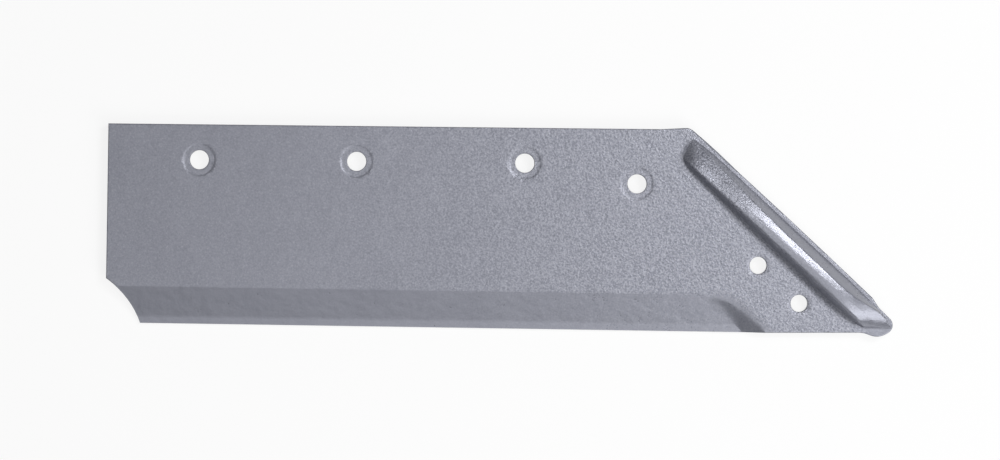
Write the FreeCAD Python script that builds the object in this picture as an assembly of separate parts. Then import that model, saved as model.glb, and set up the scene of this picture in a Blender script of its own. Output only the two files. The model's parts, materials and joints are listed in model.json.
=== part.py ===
import FreeCAD, Part
import math
import os

# A left-hand plough share, forged in one piece from flat steel bar. It lies with its back up, as it does on
# a bench: the wear face that meets the soil is flat underneath, the back that seats on the frog is on top.
#
# It is drawn in plan coordinates: X runs from the heel edge to the nose, Y from the cutting edge to the top
# edge, Z from the wear face to the back. At the end it is centred over the origin.

# ---- driving dimensions, in millimetres and degrees ----

# plate
share_length = 511.9        # heel edge to the tip of the nose
heel_width = 129.6          # cutting edge to top edge, along the heel
top_flare = 0.28            # how far the top edge opens away from the cutting edge
thickness = 10.0
edge_round = 0.7            # worn round on the rim of the back

# heel corner, notched so that it clears the next body's point
notch_length = 21.7         # along the cutting edge
notch_height = 28.9         # along the heel edge
notch_sagitta = 3.0         # how far the notch bows into the plate

# landside edge, the slant from the top corner to the nose
landside_angle = 42.05      # to the cutting edge
landside_bow = 0.6          # how far the slant bows outwards between its ends
corner_radius = 6.0
corner_swell = 1.1          # rise of the top edge where forging the rib pushed the corner out
swell_length = 19.0

# nose
shoulder_setback = 13.4     # tip back to the shoulder, where the rim of the landside edge ends
shoulder_height = 23.9      # cutting edge up to the shoulder
flank_inset = 1.9           # step of the nose's flank behind the line of the landside edge
flank_step = 7.5            # length over which that step is made
tip_radius = 6.0
tip_height = 6.2            # cutting edge up to the centre of the tip
tip_sweep = 106.0           # turn of the tip, from the flank round to the chin
chin_drop = 1.4             # lowest point of the nose, below the cutting edge
chin_setback = 10.4         # tip back to that lowest point
edge_setback = 1.0          # how far the plain stretch of edge stands behind the forged one
setback_end = 22.0          # tip back to the end of the plain stretch

# cutting bevel, forged into the back
bevel_width = 24.4
cutting_thickness = 2.5
land_width = 4.3            # narrow land along the cutting edge
land_rise = 0.8             # how much the bevel rises over the land
runout_setback = 82.3       # tip back to where the end wall of the bevel meets the cutting edge
runout_angle = 41.0         # plan angle of the end wall to the cutting edge
runout_radius = 60.0        # plan radius that turns the end wall along the bevel
runout_clearance = 2.0      # how far the wall passes above the bevel's upper line
runout_slope = 38.0         # steepness of the end wall
runout_fillet = 9.0         # round where the end wall meets the bevel

# bolt holes, countersunk from the wear face
bolt_hole = 12.5            # clearance for M12 plough bolts
bolt_head = 24.0
nose_hole = 11.2            # clearance for M10 plough bolts
nose_head = 20.0
countersink_angle = 90.0
first_bolt = 59.4           # heel edge to the first hole
bolt_pitches = (102.3, 109.4)
bolt_margin = 23.0          # top edge to the row of three
shin_bolt_setback = 167.6   # tip back to the fourth hole
shin_bolt_margin = 35.7     # top edge to the fourth hole
nose_bolt_margin = 35.2     # landside edge to the two nose holes
nose_bolt_setback = 32.4    # shoulder back to the first nose hole, along the landside edge
nose_bolt_pitch = 36.3
rim_round = 0.5             # rounded mouth of each hole on the back
press_mark = 21.4           # ring pressed into the back round each M12 hole
nose_press_mark = 19.0
press_depth = 0.3
press_slope = 0.6           # plan width of the ring's sloping side

# reinforcing rib along the landside edge
rim_ledge = 2.0             # flat rim left outside the rib
rib_height = 13.5           # crest above the back
rib_width = 16.0            # outer foot to the crest's inner corner
band_width = 6.8            # plan width of the outer face, from its foot to the arris
crest_crown = 0.5
arris_radius = 1.5
crest_radius = 2.4
inner_draft = 13.0          # lean of the inner wall
foot_radius = 4.5
foot_reach = 6.0            # how far the foot runs out before it sinks into the back
foot_dive = 9.0             # slope at which it sinks
rib_root = 4.0              # how deep the rib's body is bedded in the plate
seam_height = 4.5           # cutting edge up to the seam under the nose
seam_setback = 18.6         # tip back to the inner end of the seam
seam_inset = 0.8            # outline of the tip to the outer end of the seam


# ---- plan geometry ----

def at(x, y, z=0.0):
    return FreeCAD.Vector(x, y, z)


def heading(degrees):
    return at(math.cos(math.radians(degrees)), math.sin(math.radians(degrees)))


def slope_of(degrees):
    return math.tan(math.radians(degrees))


def crossing(start, first, other, second):
    """Where the line from start along first meets the line from other along second, in plan."""
    gap = other - start
    reach = (gap.x * second.y - gap.y * second.x) / (first.x * second.y - first.y * second.x)
    return start + first * reach


def line(start, end):
    return Part.LineSegment(start, end).toShape()


def bowed(start, end, sagitta):
    """An arc from start to end that bows to the left of the way it runs."""
    along = (end - start).normalize()
    middle = (start + end) * 0.5 + at(-along.y, along.x) * sagitta
    return Part.Arc(start, middle, end).toShape()


def rounded(corners):
    """Edges of an open run of lines through (point, radius) corners, with tangent arcs at the corners."""
    edges = []
    last = corners[0][0]
    for (before, _), (corner, radius), (after, _) in zip(corners, corners[1:], corners[2:]):
        back = (before - corner).normalize()
        ahead = (after - corner).normalize()
        half = back.getAngle(ahead) / 2.0
        to_arc = radius / math.tan(half)
        bisector = (back + ahead).normalize()
        start = corner + back * to_arc
        end = corner + ahead * to_arc
        middle = corner + bisector * (radius / math.sin(half) - radius)
        edges.append(line(last, start))
        edges.append(Part.Arc(start, middle, end).toShape())
        last = end
    edges.append(line(last, corners[-1][0]))
    return edges


top_heading = heading(top_flare)
landside_heading = heading(-landside_angle)
landside_inward = heading(-landside_angle - 90.0)
shoulder = at(share_length - shoulder_setback, shoulder_height)
top_corner = crossing(at(0.0, heel_width), top_heading, shoulder, landside_heading)
landside_length = top_corner.distanceToPoint(shoulder)


def on_landside(along, inward):
    """A plan point measured from the top corner along the landside edge, and inwards from it."""
    return top_corner + landside_heading * along + landside_inward * inward


def from_top_edge(x, margin):
    return at(x, heel_width + x * slope_of(top_flare) - margin)


# ---- plate ----

def nose_outline():
    """From the shoulder round the tip and the chin to the plain stretch of the cutting edge."""
    flank = shoulder + landside_heading * flank_step + landside_inward * flank_inset
    centre = at(share_length - tip_radius, tip_height)
    tip_start = centre + heading(90.0 - landside_angle) * tip_radius
    tip_middle = centre + heading(90.0 - landside_angle - tip_sweep / 2.0) * tip_radius
    tip_end = centre + heading(90.0 - landside_angle - tip_sweep) * tip_radius
    chin = at(share_length - chin_setback, -chin_drop)
    plain_end = at(share_length - setback_end, edge_setback)
    under_nose = Part.BSplineCurve()
    under_nose.interpolate(
        Points=[tip_end, chin, plain_end],
        Tangents=[heading(-landside_angle - tip_sweep), at(-1.0, 0.0), at(-1.0, 0.0)],
        TangentFlags=[True, True, True],
    )
    return [
        line(shoulder, flank),
        line(flank, tip_start),
        Part.Arc(tip_start, tip_middle, tip_end).toShape(),
        under_nose.toShape(),
    ]


def outline():
    notch_top = at(0.0, notch_height)
    notch_foot = at(notch_length, 0.0)
    heel_top = at(0.0, heel_width)
    swell_start = top_corner - top_heading * (swell_length + corner_swell)
    swell_heading = heading(top_flare + math.degrees(math.atan2(corner_swell, swell_length)))
    swell_corner = crossing(swell_start, swell_heading, shoulder, landside_heading)
    corner = rounded([
        (swell_start, 0.0),
        (swell_corner, corner_radius),
        (swell_corner + landside_heading * corner_radius * 2.0, 0.0),
    ])[:2]
    landside_start = corner[1].lastVertex().Point
    plain_start = at(share_length - runout_setback, 0.0)
    nose = nose_outline()
    edges = [
        line(notch_top, heel_top),
        line(heel_top, swell_start),
        *corner,
        bowed(landside_start, shoulder, landside_bow),
        *nose,
        line(nose[-1].lastVertex().Point, plain_start),
        line(plain_start, notch_foot),
        bowed(notch_foot, notch_top, -notch_sagitta),
    ]
    return Part.Wire(edges)


def plate():
    blank = Part.Face(outline()).extrude(at(0.0, 0.0, thickness))
    rim = [edge for edge in blank.Edges if all(abs(v.Z - thickness) < 1e-6 for v in edge.Vertexes)]
    return blank.makeFillet(edge_round, rim)


# ---- cutting bevel ----

def bevel_height(y):
    """Height of the bevel's face at a distance from the cutting edge; it meets the back at its full width."""
    rise = thickness - cutting_thickness - land_rise
    return thickness + (y - bevel_width) * rise / (bevel_width - land_width)


def land_height(y):
    return cutting_thickness + y * land_rise / land_width


def room_above(height_at):
    """A long block over a plane that holds level along the cutting edge; height_at(y) gives the plane."""
    far = thickness * 6.0
    profile = [
        at(-far, -far, height_at(-far)),
        at(-far, far, height_at(far)),
        at(-far, far, height_at(far) + far),
        at(-far, -far, height_at(far) + far),
    ]
    return Part.Face(Part.makePolygon(profile + profile[:1])).extrude(at(share_length + far, 0.0, 0.0))


def runout_wire(level, past):
    """Plan of the bevel at one height: its end wall leans outwards as it rises."""
    lean = (level - thickness) / slope_of(runout_slope)
    upper = bevel_width + runout_clearance + lean
    wall_heading = heading(-runout_angle)
    foot = at(share_length - runout_setback, 0.0) + heading(90.0 - runout_angle) * lean
    turn = crossing(at(0.0, upper), at(1.0, 0.0), foot, wall_heading)
    start = at(-past, upper)
    end = foot + wall_heading * past
    wall = rounded([(start, 0.0), (turn, runout_radius + lean), (end, 0.0)])
    below = at(-past, end.y)
    wire = Part.Wire([*wall, line(end, below), line(below, start)])
    wire.translate(at(0.0, 0.0, level))
    return wire


def bevel_cutter():
    """What forging took from the back: the room over the bevel and its land, closed by the run-out's wall."""
    past = thickness * 5.0
    room = Part.makeLoft([runout_wire(-thickness, past), runout_wire(thickness * 2.0, past)], True, True)
    room = room.common(room_above(bevel_height))
    wall_foot = []
    for edge in room.Edges:
        middle = edge.valueAt((edge.FirstParameter + edge.LastParameter) / 2.0)
        on_bevel = abs(middle.z - bevel_height(middle.y)) < 0.01
        if on_bevel and middle.x > 0.0 and middle.y > -past / 2.0:
            wall_foot.append(edge)
    room = room.makeFillet(runout_fillet, wall_foot)
    return room.common(room_above(land_height))


# ---- bolt holes ----

def bolt_holes():
    """Plan position, bore, countersink and pressed ring of each hole."""
    holes = []
    x = first_bolt
    for step in (*bolt_pitches, 0.0):
        holes.append((from_top_edge(x, bolt_margin), bolt_hole, bolt_head, press_mark))
        x += step
    shin = from_top_edge(share_length - shin_bolt_setback, shin_bolt_margin)
    holes.append((shin, bolt_hole, bolt_head, press_mark))
    for row in range(2):
        along = landside_length - nose_bolt_setback - row * nose_bolt_pitch
        place = on_landside(along, nose_bolt_margin)
        holes.append((place, nose_hole, nose_head, nose_press_mark))
    return holes


def hole_cutter(place, bore, head, mark):
    """One revolved cutter: countersink, bore, rounded mouth and the shallow ring pressed round it."""
    bore_radius = bore / 2.0
    sink = (head - bore) / 2.0 / slope_of(countersink_angle / 2.0)
    floor = thickness - press_depth
    mark_radius = mark / 2.0
    over = thickness
    spread = slope_of(countersink_angle / 2.0)
    mouth_turn = math.sqrt(0.5)
    side = [
        line(at(0.0, 0.0, -over), at(bore_radius + (sink + over) * spread, 0.0, -over)),
        line(at(bore_radius + (sink + over) * spread, 0.0, -over), at(bore_radius, 0.0, sink)),
        line(at(bore_radius, 0.0, sink), at(bore_radius, 0.0, floor - rim_round)),
        Part.Arc(
            at(bore_radius, 0.0, floor - rim_round),
            at(bore_radius + rim_round * (1.0 - mouth_turn), 0.0, floor - rim_round * (1.0 - mouth_turn)),
            at(bore_radius + rim_round, 0.0, floor),
        ).toShape(),
        line(at(bore_radius + rim_round, 0.0, floor), at(mark_radius - press_slope, 0.0, floor)),
        line(at(mark_radius - press_slope, 0.0, floor), at(mark_radius, 0.0, thickness)),
        line(at(mark_radius, 0.0, thickness), at(mark_radius, 0.0, thickness + over)),
        line(at(mark_radius, 0.0, thickness + over), at(0.0, 0.0, thickness + over)),
        line(at(0.0, 0.0, thickness + over), at(0.0, 0.0, -over)),
    ]
    cutter = Part.Face(Part.Wire(side)).revolve(at(0.0, 0.0), at(0.0, 0.0, 1.0), 360.0)
    cutter.translate(place)
    return cutter


# ---- rib ----

def rib_section(outer, inner, arris_rise, crest_rise, band):
    """One section of the rib, standing on the plan line from its outer foot to the crest's inner corner.

    arris_rise and crest_rise are shares of the rib's height, band is a share of the outer face's width.
    """
    across = (inner - outer).normalize()
    width = outer.distanceToPoint(inner)
    up = at(0.0, 0.0, 1.0)

    def point(inwards, height):
        return outer + across * inwards + up * (thickness + height)

    arris = arris_rise * rib_height
    crest = crest_rise * rib_height
    face = band * band_width * width / rib_width
    root_in = face * rib_root / max(arris, rib_root)
    crown_in = (face + width) / 2.0
    crown = (arris + crest) / 2.0 + crest_crown * crest_rise
    wall_foot = width + crest * slope_of(inner_draft)
    bed = crest_rise * foot_radius * 0.12
    reach = foot_reach * max(crest_rise, 0.25)
    scale = max(crest_rise, 0.08)
    edges = rounded([
        (point(-root_in, -rib_root), 0.0),
        (point(face, arris), arris_radius * max(arris_rise, 0.08)),
        (point(crown_in, crown), rib_width * 0.5),
        (point(width, crest), crest_radius * scale),
        (point(wall_foot, bed), foot_radius * scale),
        (point(wall_foot + reach, bed - reach * slope_of(foot_dive)), 0.0),
    ])
    tail = point(wall_foot + reach, bed - reach * slope_of(foot_dive))
    tail_root = point(wall_foot + reach, -rib_root)
    outer_root = point(-root_in, -rib_root)
    return Part.Wire([*edges, line(tail, tail_root), line(tail_root, outer_root)])


# Where the outer end of each section stands, as a share of the landside edge's length, how far its inner end
# leads it, as a share of the rib's width, then its arris and crest as shares of the rib's height, and its
# outer face as a share of the full width. The first section lies just under the back, so the rib grows out of it.
rib_stations = (
    (0.01, 0.45, -0.04, -0.04, 0.35),
    (0.06, 0.28, 0.14, 0.42, 0.40),
    (0.17, 0.10, 0.34, 0.62, 0.50),
    (0.33, 0.00, 0.66, 0.80, 0.75),
    (0.55, 0.00, 0.90, 0.94, 0.95),
    (0.78, 0.00, 1.00, 1.00, 1.00),
    (0.91, 0.00, 0.96, 0.96, 0.95),
)

# The nose sections fan round from square across the rib to parallel with the cutting edge. Each row has the
# share of the way to the seam at the outer and the inner end, then arris, crest and outer face as above.
nose_stations = (
    (0.40, 0.42, 0.80, 0.84, 0.66),
    (0.72, 0.70, 0.62, 0.66, 0.26),
    (0.92, 0.88, 0.40, 0.42, 0.12),
    (1.00, 1.00, 0.14, 0.14, 0.08),
)


def rib():
    sections = []
    for share, lead, arris, crest, band in rib_stations:
        along = share * landside_length
        outer = on_landside(along, rim_ledge)
        inner = on_landside(along + lead * rib_width, rim_ledge + rib_width)
        sections.append(rib_section(outer, inner, arris, crest, band))
    centre = at(share_length - tip_radius, tip_height)
    flank_end = centre + heading(90.0 - landside_angle) * (tip_radius - seam_inset)
    seam_outer = at(share_length - seam_inset, seam_height)
    seam_inner = at(share_length - seam_setback, seam_height)
    for outer_share, inner_share, arris, crest, band in nose_stations:
        straight = outer + (flank_end - outer) * outer_share
        turned = outer + (seam_outer - outer) * outer_share
        foot = straight + (turned - straight) * outer_share ** 8
        corner = inner + (seam_inner - inner) * inner_share
        sections.append(rib_section(foot, corner, arris, crest, band))
    return Part.makeLoft(sections, True, False)


# ---- the share ----

def plough_share():
    share = plate().cut(bevel_cutter()).fuse(rib())
    for hole in bolt_holes():
        share = share.cut(hole_cutter(*hole))
    share = share.removeSplitter()
    plan = outline().optimalBoundingBox()
    share.translate(at(-plan.Center.x, -plan.Center.y))
    return share


share = plough_share()
os.makedirs("parts", exist_ok=True)
share.exportStep("parts/plough_share.step")
print("plough share:", len(share.Solids), "solid,", round(share.Volume / 1000.0, 1), "cm3, valid:", share.isValid())
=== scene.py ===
import json
import math

import bpy
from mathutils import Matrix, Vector


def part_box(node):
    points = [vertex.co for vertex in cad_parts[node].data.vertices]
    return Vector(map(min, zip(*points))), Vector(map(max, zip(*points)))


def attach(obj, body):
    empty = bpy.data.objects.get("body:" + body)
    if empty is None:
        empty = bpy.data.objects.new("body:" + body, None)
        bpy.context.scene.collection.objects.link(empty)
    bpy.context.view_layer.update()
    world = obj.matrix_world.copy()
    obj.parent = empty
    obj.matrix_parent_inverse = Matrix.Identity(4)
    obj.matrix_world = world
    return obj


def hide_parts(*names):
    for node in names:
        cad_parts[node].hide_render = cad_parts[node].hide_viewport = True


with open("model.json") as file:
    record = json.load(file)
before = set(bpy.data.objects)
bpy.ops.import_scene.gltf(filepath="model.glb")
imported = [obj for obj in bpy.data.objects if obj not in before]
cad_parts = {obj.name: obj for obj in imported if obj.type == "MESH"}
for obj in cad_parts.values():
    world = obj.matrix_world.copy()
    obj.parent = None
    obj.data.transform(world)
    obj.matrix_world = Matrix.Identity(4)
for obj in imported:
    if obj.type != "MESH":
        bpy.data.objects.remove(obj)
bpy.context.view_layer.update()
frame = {"nodes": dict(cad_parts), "record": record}

# A left-hand plough share, forged from one steel bar and painted grey. It lies on its flat wear face with its
# back up: nose towards +X, cutting edge towards -Y. Lengths are in metres.

MM = 0.001

# ---- where things are on the share ----

node = frame["nodes"]["plough_share"]
low, high = (Vector(corner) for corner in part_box("plough_share"))
mounts = {mount["name"]: mount for mount in frame["record"]["mounts"]}
bores = [mount for mount in mounts.values() if mount["kind"] == "bore"]
back_height = mounts["frog_seat"]["pos_m"][2]

chin_drop = 1.4 * MM                      # the nose hangs this far below the cutting edge
cutting_edge = low.y + chin_drop
bevel_width = 24.4 * MM
landside_angle = math.radians(42.05)      # slant of the landside edge to the cutting edge
shoulder = Vector((high.x - 13.4 * MM, cutting_edge + 23.9 * MM))
landside_length = 159.8 * MM
landside_run = Vector((math.cos(landside_angle), -math.sin(landside_angle)))
landside_in = Vector((-math.sin(landside_angle), -math.cos(landside_angle)))
top_corner = shoulder - landside_run * landside_length
rib_foot = 24.0 * MM                      # from the landside edge in to where the rib's foot has run out
runout_angle = math.radians(41.0)         # slant of the bevel's end wall to the cutting edge
runout_foot = Vector((high.x - 82.3 * MM, cutting_edge))    # where that wall meets the edge
runout_normal = Vector((math.sin(runout_angle), math.cos(runout_angle)))
ring_radius = 11.5 * MM                   # just outside the ring pressed round each bolt hole
mouth_round = 0.6 * MM                    # rounded mouth of each hole


def along_landside(point):
    """How far a point lies along the landside edge from the top corner, and how far in from the edge."""
    offset = Vector((point.x, point.y)) - top_corner
    return offset.dot(landside_run), offset.dot(landside_in)


def ramp(value, start, end):
    """0 before start, 1 after end, and a smooth step between."""
    share = min(max((value - start) / (end - start), 0.0), 1.0)
    return share * share * (3.0 - 2.0 * share)


def rise(distance, start, end):
    """0 before start and 1 after end, both in millimetres."""
    return ramp(distance, start * MM, end * MM)


def fall(distance, start, end):
    """1 before start and 0 after end, both in millimetres."""
    return 1.0 - rise(distance, start, end)


# ---- the forging ----

def pick(piece):
    bpy.ops.object.select_all(action="DESELECT")
    piece.select_set(True)
    bpy.context.view_layer.objects.active = piece


def cut_lines(start, end, step):
    count = int((end - start) / step)
    return [start + step * (line + 0.5) for line in range(count)]


def cut_across(axis, places):
    """Cuts all that shows at each place along an axis."""
    normal = [float(other == axis) for other in range(3)]
    for place in places:
        bpy.ops.mesh.select_all(action="SELECT")
        bpy.ops.mesh.bisect(plane_co=[place * share for share in normal], plane_no=normal)


def hide_faces(piece, is_hidden):
    bpy.ops.object.mode_set(mode="OBJECT")
    for face in piece.data.polygons:
        face.select = is_hidden(face)
    bpy.ops.object.mode_set(mode="EDIT")
    bpy.ops.mesh.hide()


def fill_nose_rings(piece):
    """The two holes by the nose have no pressed ring: its floor comes up level with the back."""
    deepest = 0.6 * MM
    for mount in bores:
        if "nose" not in mount["name"]:
            continue
        centre = Vector(mount["pos_m"][:2])
        mouth = mount["dims"]["r_mm"] * MM + mouth_round
        for vertex in piece.data.vertices:
            away = (Vector(vertex.co[:2]) - centre).length
            if mouth < away < ring_radius and abs(vertex.co.z - back_height) < deepest:
                vertex.co.z = back_height


def softening(point):
    """How far the forging's edges are blended at a point: at the rib's two ends and round the bevel's end."""
    along, inward = along_landside(point)
    off_rim = rise(inward, 3.0, 6.0) * rise(high.y - point.y, 3.0, 6.0) * rise(point.z, 5.0, 7.0)
    rib_start = rise(along, -12.0, -6.0) * fall(along, 22.0, 42.0) * fall(inward, 24.0, 30.0)
    nose = rise(along, 128.0, 140.0) * fall(along, 152.0, 158.0) * fall(inward, 14.0, 18.0)
    from_foot = Vector((point.x, point.y)) - runout_foot
    beside_wall = fall(abs(from_foot.dot(runout_normal)), 6.0, 9.0)
    runout = beside_wall * rise(from_foot.x, -48.0, -36.0)
    runout *= rise(from_foot.y, 1.5, 4.0) * fall(from_foot.y, 30.0, 36.0)
    return max(max(rib_start, nose) * off_rim, runout)


def soften(piece):
    """Relaxes the surface where softening() says so."""
    group = piece.vertex_groups.new(name="blended")
    for vertex in piece.data.vertices:
        weight = softening(vertex.co)
        if weight > 0.0:
            group.add([vertex.index], weight, "REPLACE")
    smooth = piece.modifiers.new("blend", "SMOOTH")
    smooth.vertex_group = group.name
    smooth.factor = 0.5
    smooth.iterations = 30
    bpy.ops.object.modifier_apply(modifier=smooth.name)


def forging():
    """A copy of the share, cut fine, with its ends blended as the hammer left them."""
    step = 2.0 * MM
    same_point = 0.001 * MM
    flat_enough = math.radians(0.5)
    crease = math.radians(35.0)
    piece = bpy.data.objects.new("share_forging", node.data.copy())
    bpy.context.scene.collection.objects.link(piece)
    pick(piece)
    bpy.ops.object.mode_set(mode="EDIT")
    bpy.ops.mesh.select_mode(type="FACE")
    bpy.ops.mesh.select_all(action="SELECT")
    bpy.ops.mesh.customdata_custom_splitnormals_clear()
    bpy.ops.mesh.remove_doubles(threshold=same_point)
    bpy.ops.mesh.dissolve_limited(angle_limit=flat_enough)
    hide_faces(piece, lambda face: face.center.z < 10.0 * same_point)    # the wear face stays whole
    cut_across(0, cut_lines(low.x, high.x, step))
    cut_across(1, cut_lines(low.y, high.y, step))
    hide_faces(piece, lambda face: along_landside(face.center)[1] > rib_foot + 3.0 * MM)    # rib only
    cut_across(0, cut_lines(top_corner.x - rib_foot, high.x, step))
    cut_across(1, cut_lines(low.y, high.y, step))
    bpy.ops.mesh.reveal()
    bpy.ops.mesh.select_all(action="DESELECT")
    bpy.ops.object.mode_set(mode="OBJECT")
    fill_nose_rings(piece)
    soften(piece)
    bpy.ops.object.shade_smooth_by_angle(angle=crease)
    return piece


# ---- finish ----

class Value:
    """A number in a material that can differ from place to place. Arithmetic on it adds its Math nodes."""

    def __init__(self, paint, socket):
        self.paint = paint
        self.socket = socket

    def math(self, operation, *others):
        return self.paint.node("ShaderNodeMath", {"operation": operation}, [self, *others])

    def __add__(self, other):
        return self.math("ADD", other)

    def __mul__(self, other):
        return self.math("MULTIPLY", other)

    def __sub__(self, other):
        return self.math("SUBTRACT", other)

    def __rsub__(self, other):
        return self.paint.node("ShaderNodeMath", {"operation": "SUBTRACT"}, [other, self])

    __radd__ = __add__
    __rmul__ = __mul__

    def between(self, start, end):
        """0 where this is at start, 1 where it is at end, in a smooth step."""
        settings = {"interpolation_type": "SMOOTHSTEP"}
        inputs = {"Value": self, "From Min": start, "From Max": end}
        return self.paint.node("ShaderNodeMapRange", settings, inputs, "Result")


class Paint:
    """One material under construction."""

    def __init__(self, name):
        self.material = bpy.data.materials.new(name)
        self.material.use_nodes = True
        self.tree = self.material.node_tree
        self.tree.nodes.clear()

    def node(self, kind, settings, inputs, output=0):
        """Adds a node: its settings first, then the values or links of its sockets."""
        made = self.tree.nodes.new(kind)
        for setting, choice in settings.items():
            setattr(made, setting, choice)
        pairs = inputs.items() if isinstance(inputs, dict) else enumerate(inputs)
        for place, value in pairs:
            if isinstance(value, Value):
                self.tree.links.new(value.socket, made.inputs[place])
            else:
                made.inputs[place].default_value = value
        return Value(self, made.outputs[output])

    def speckle(self, place, size, detail, roughness):
        """Noise round 0.5, in grains about size millimetres across."""
        inputs = {"Vector": place, "Scale": 1.0 / size, "Detail": detail, "Roughness": roughness}
        return self.node("ShaderNodeTexNoise", {}, inputs, "Fac")

    def mix(self, share, first, second):
        settings = {"data_type": "RGBA"}
        return self.node("ShaderNodeMix", settings, {0: share, 6: first, 7: second}, 2)

    def finish(self, surface):
        output = self.tree.nodes.new("ShaderNodeOutputMaterial")
        self.tree.links.new(surface.socket, output.inputs["Surface"])
        return self.material


def share_paint():
    """Grey paint over forging scale: rough on the rolled plate, smoother where it was forged. Painted glints
    and a painted sparkle grow towards the nose, and a painted highlight runs along the ridges.
    """
    dark = (0.192, 0.199, 0.238, 1.0)
    light = (0.308, 0.315, 0.364, 1.0)
    scale_depth = 0.35 * MM
    paint = Paint("grey_paint")
    place = paint.node("ShaderNodeTexCoord", {}, {}, "Object")
    place = paint.node("ShaderNodeVectorMath", {"operation": "SCALE"}, {0: place, "Scale": 1.0 / MM})
    worked = paint.node("ShaderNodeAttribute", {"attribute_name": "worked"}, {}, "Fac")
    ridge_highlight = paint.node("ShaderNodeAttribute", {"attribute_name": "ridge_highlight"}, {}, "Fac")

    # the scale is coarser towards the nose in bumps and roughness; the colour specks and glints grow with it
    # there, which is a painted sparkle of the sheen
    coarse_and_sparkle = paint.node("ShaderNodeSeparateXYZ", {}, {0: place}, "X").between(-160.0, 170.0)
    rough_and_sparkle = (coarse_and_sparkle * 0.75 + 0.25) * (1.0 - worked * 0.8)
    grit = paint.speckle(place, 1.2, 2.0, 0.6)
    scale = paint.speckle(place, 1.6, 3.0, 0.6)
    patches = paint.speckle(place, 28.0, 3.0, 0.55)
    blotch = paint.speckle(place, 6.0, 2.0, 0.5)

    # painted glints: bright specks added to the colour, more of them towards the nose
    glints = grit.between(0.62, 0.72) * rough_and_sparkle * 0.8
    # the ridge mask lightens the colour along sharp ridges: a painted highlight (it also makes them a little
    # glossier below)
    shade = (patches - 0.5) * 0.35 + (blotch - 0.5) * 0.18 + (grit - 0.5) * rough_and_sparkle * 5.5 + ridge_highlight * 0.5
    shade = (shade + glints + 0.5).math("MAXIMUM", 0.0)
    gloss = worked * 0.08 + ridge_highlight * 0.04
    roughness = 0.38 - gloss + (grit - 0.5) * rough_and_sparkle * 0.5 + (blotch - 0.5) * 0.10
    relief = scale * rough_and_sparkle + blotch * 0.5
    bump_inputs = {"Strength": 1.0, "Distance": scale_depth, "Height": relief}
    surface = paint.node("ShaderNodeBsdfPrincipled", {}, {
        "Base Color": paint.mix(shade, dark, light),
        "Roughness": roughness,
        "Metallic": 0.35,
        "Normal": paint.node("ShaderNodeBump", {}, bump_inputs, "Normal"),
    })
    return paint.finish(surface)


def mark_worked(piece):
    """Writes how smooth the surface was forged: 0 on the rolled plate, 1 on the bevel and the rib."""
    worked = piece.data.attributes.new("worked", "FLOAT", "POINT")
    for vertex in piece.data.vertices:
        along, inward = along_landside(vertex.co)
        on_rib = fall(inward, 18.0, 22.0) * rise(along, 45.0, 85.0)
        past_bevel = vertex.co.y - cutting_edge - bevel_width
        past_wall = (Vector(vertex.co[:2]) - runout_foot).dot(runout_normal)
        on_bevel = fall(past_bevel, -1.0, 1.0) * fall(past_wall, 1.0, 5.0)
        worked.data[vertex.index].value = max(on_rib, on_bevel)


def mark_ridge_highlight(piece):
    """Writes where a painted highlight lightens the paint along sharp ridges: 0 on flats, 1 where the surface
    falls away from a sharp ridge.
    """
    highlighted = (0.06, 0.28)    # mean slope of the surface away from a ridge, from faint to full painted highlight
    mesh = piece.data
    bulge = [0.0] * len(mesh.vertices)
    spokes = [0] * len(mesh.vertices)
    for edge in mesh.edges:
        for here, there in (edge.vertices, reversed(edge.vertices)):
            vertex = mesh.vertices[here]
            away = vertex.co - mesh.vertices[there].co
            bulge[here] += away.normalized().dot(vertex.normal)
            spokes[here] += 1
    ridge_highlight = mesh.attributes.new("ridge_highlight", "FLOAT", "POINT")
    for vertex in mesh.vertices:
        ridge = bulge[vertex.index] / max(spokes[vertex.index], 1)
        on_back = rise(vertex.co.z - back_height, -0.4, 0.0)
        ridge_highlight.data[vertex.index].value = ramp(ridge, *highlighted) * on_back


share = forging()
mark_worked(share)
mark_ridge_highlight(share)
share.data.materials.clear()
share.data.materials.append(share_paint())
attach(share, "root")
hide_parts("plough_share")


# ---- floor, light and camera ----

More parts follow.
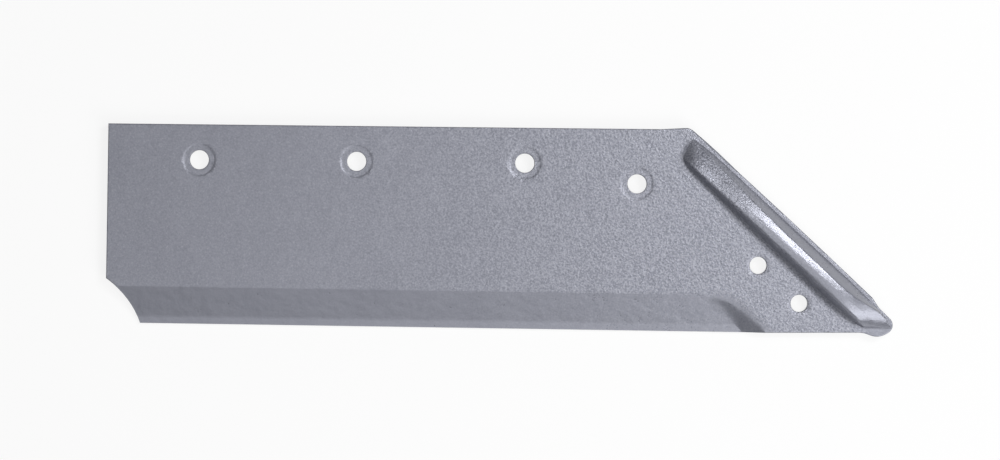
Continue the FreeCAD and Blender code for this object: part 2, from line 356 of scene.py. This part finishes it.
def floor():
    """Plain white ground that takes the share's shadow and is seen and mirrored as white."""
    reflectance = 0.85
    glow_share = 0.85    # the rest shows the shadow
    bpy.ops.mesh.primitive_plane_add(size=8.0, location=(0.0, 0.0, -0.2 * MM))
    ground = bpy.context.object
    ground.name = "floor"
    paint = Paint("white_floor")
    diffuse = paint.node("ShaderNodeBsdfDiffuse", {}, {"Color": (reflectance, reflectance, reflectance, 1.0)})
    glow = paint.node("ShaderNodeEmission", {}, {"Color": (1.0, 1.0, 1.0, 1.0), "Strength": 1.0})
    seen = paint.node("ShaderNodeLightPath", {}, {}, "Is Camera Ray")
    mirrored = paint.node("ShaderNodeLightPath", {}, {}, "Is Glossy Ray")
    passed = paint.node("ShaderNodeLightPath", {}, {}, "Is Transmission Ray")
    glowing = seen.math("MAXIMUM", mirrored).math("MAXIMUM", passed) * glow_share
    surface = paint.node("ShaderNodeMixShader", {}, {0: glowing, 1: diffuse, 2: glow})
    ground.data.materials.append(paint.finish(surface))


def softbox(name, place, target, width, height, power):
    """A rectangular lamp at place, turned towards target. Lengths are in metres, power in watts."""
    lamp = bpy.data.lights.new(name, "AREA")
    lamp.shape = "RECTANGLE"
    lamp.size = width
    lamp.size_y = height
    lamp.energy = power
    stand = bpy.data.objects.new(name, lamp)
    bpy.context.scene.collection.objects.link(stand)
    stand.location = place
    stand.rotation_euler = (Vector(target) - Vector(place)).to_track_quat("-Z", "Y").to_euler()


def world_light(strength):
    world = bpy.data.worlds.new("studio")
    bpy.context.scene.world = world
    world.use_nodes = True
    background = world.node_tree.nodes["Background"]
    background.inputs["Color"].default_value = (1.0, 1.0, 1.0, 1.0)
    background.inputs["Strength"].default_value = strength


def overhead_camera():
    """Looks straight down on the back. The share hangs a little out of level across the view."""
    lens = 110.0
    sensor = 36.0
    view_width = 0.65           # metres across the picture, at the back's height
    out_of_level = math.radians(0.89)
    off_centre = (-0.3 * MM, -1.3 * MM)
    data = bpy.data.cameras.new("overhead")
    data.lens = lens
    data.sensor_width = sensor
    data.clip_end = 50.0
    camera = bpy.data.objects.new("overhead", data)
    bpy.context.scene.collection.objects.link(camera)
    middle = (low + high) / 2.0
    height = back_height + view_width * lens / sensor
    camera.location = (middle.x + off_centre[0], middle.y + off_centre[1], height)
    camera.rotation_euler = (0.0, 0.0, out_of_level)
    bpy.context.scene.camera = camera


floor()
softbox("key", (0.70, 0.46, 1.40), (0.1, 0.0, 0.0), 0.5, 0.5, 12.0)
softbox("low", (1.10, -1.10, 1.30), (0.1, 0.0, 0.0), 1.2, 1.2, 21.0)
softbox("overhead", (0.18, -0.40, 2.3), (0.0, 0.0, 0.0), 2.2, 2.4, 20.5)
world_light(0.03)
overhead_camera()
bpy.context.scene.view_settings.view_transform = "Standard"
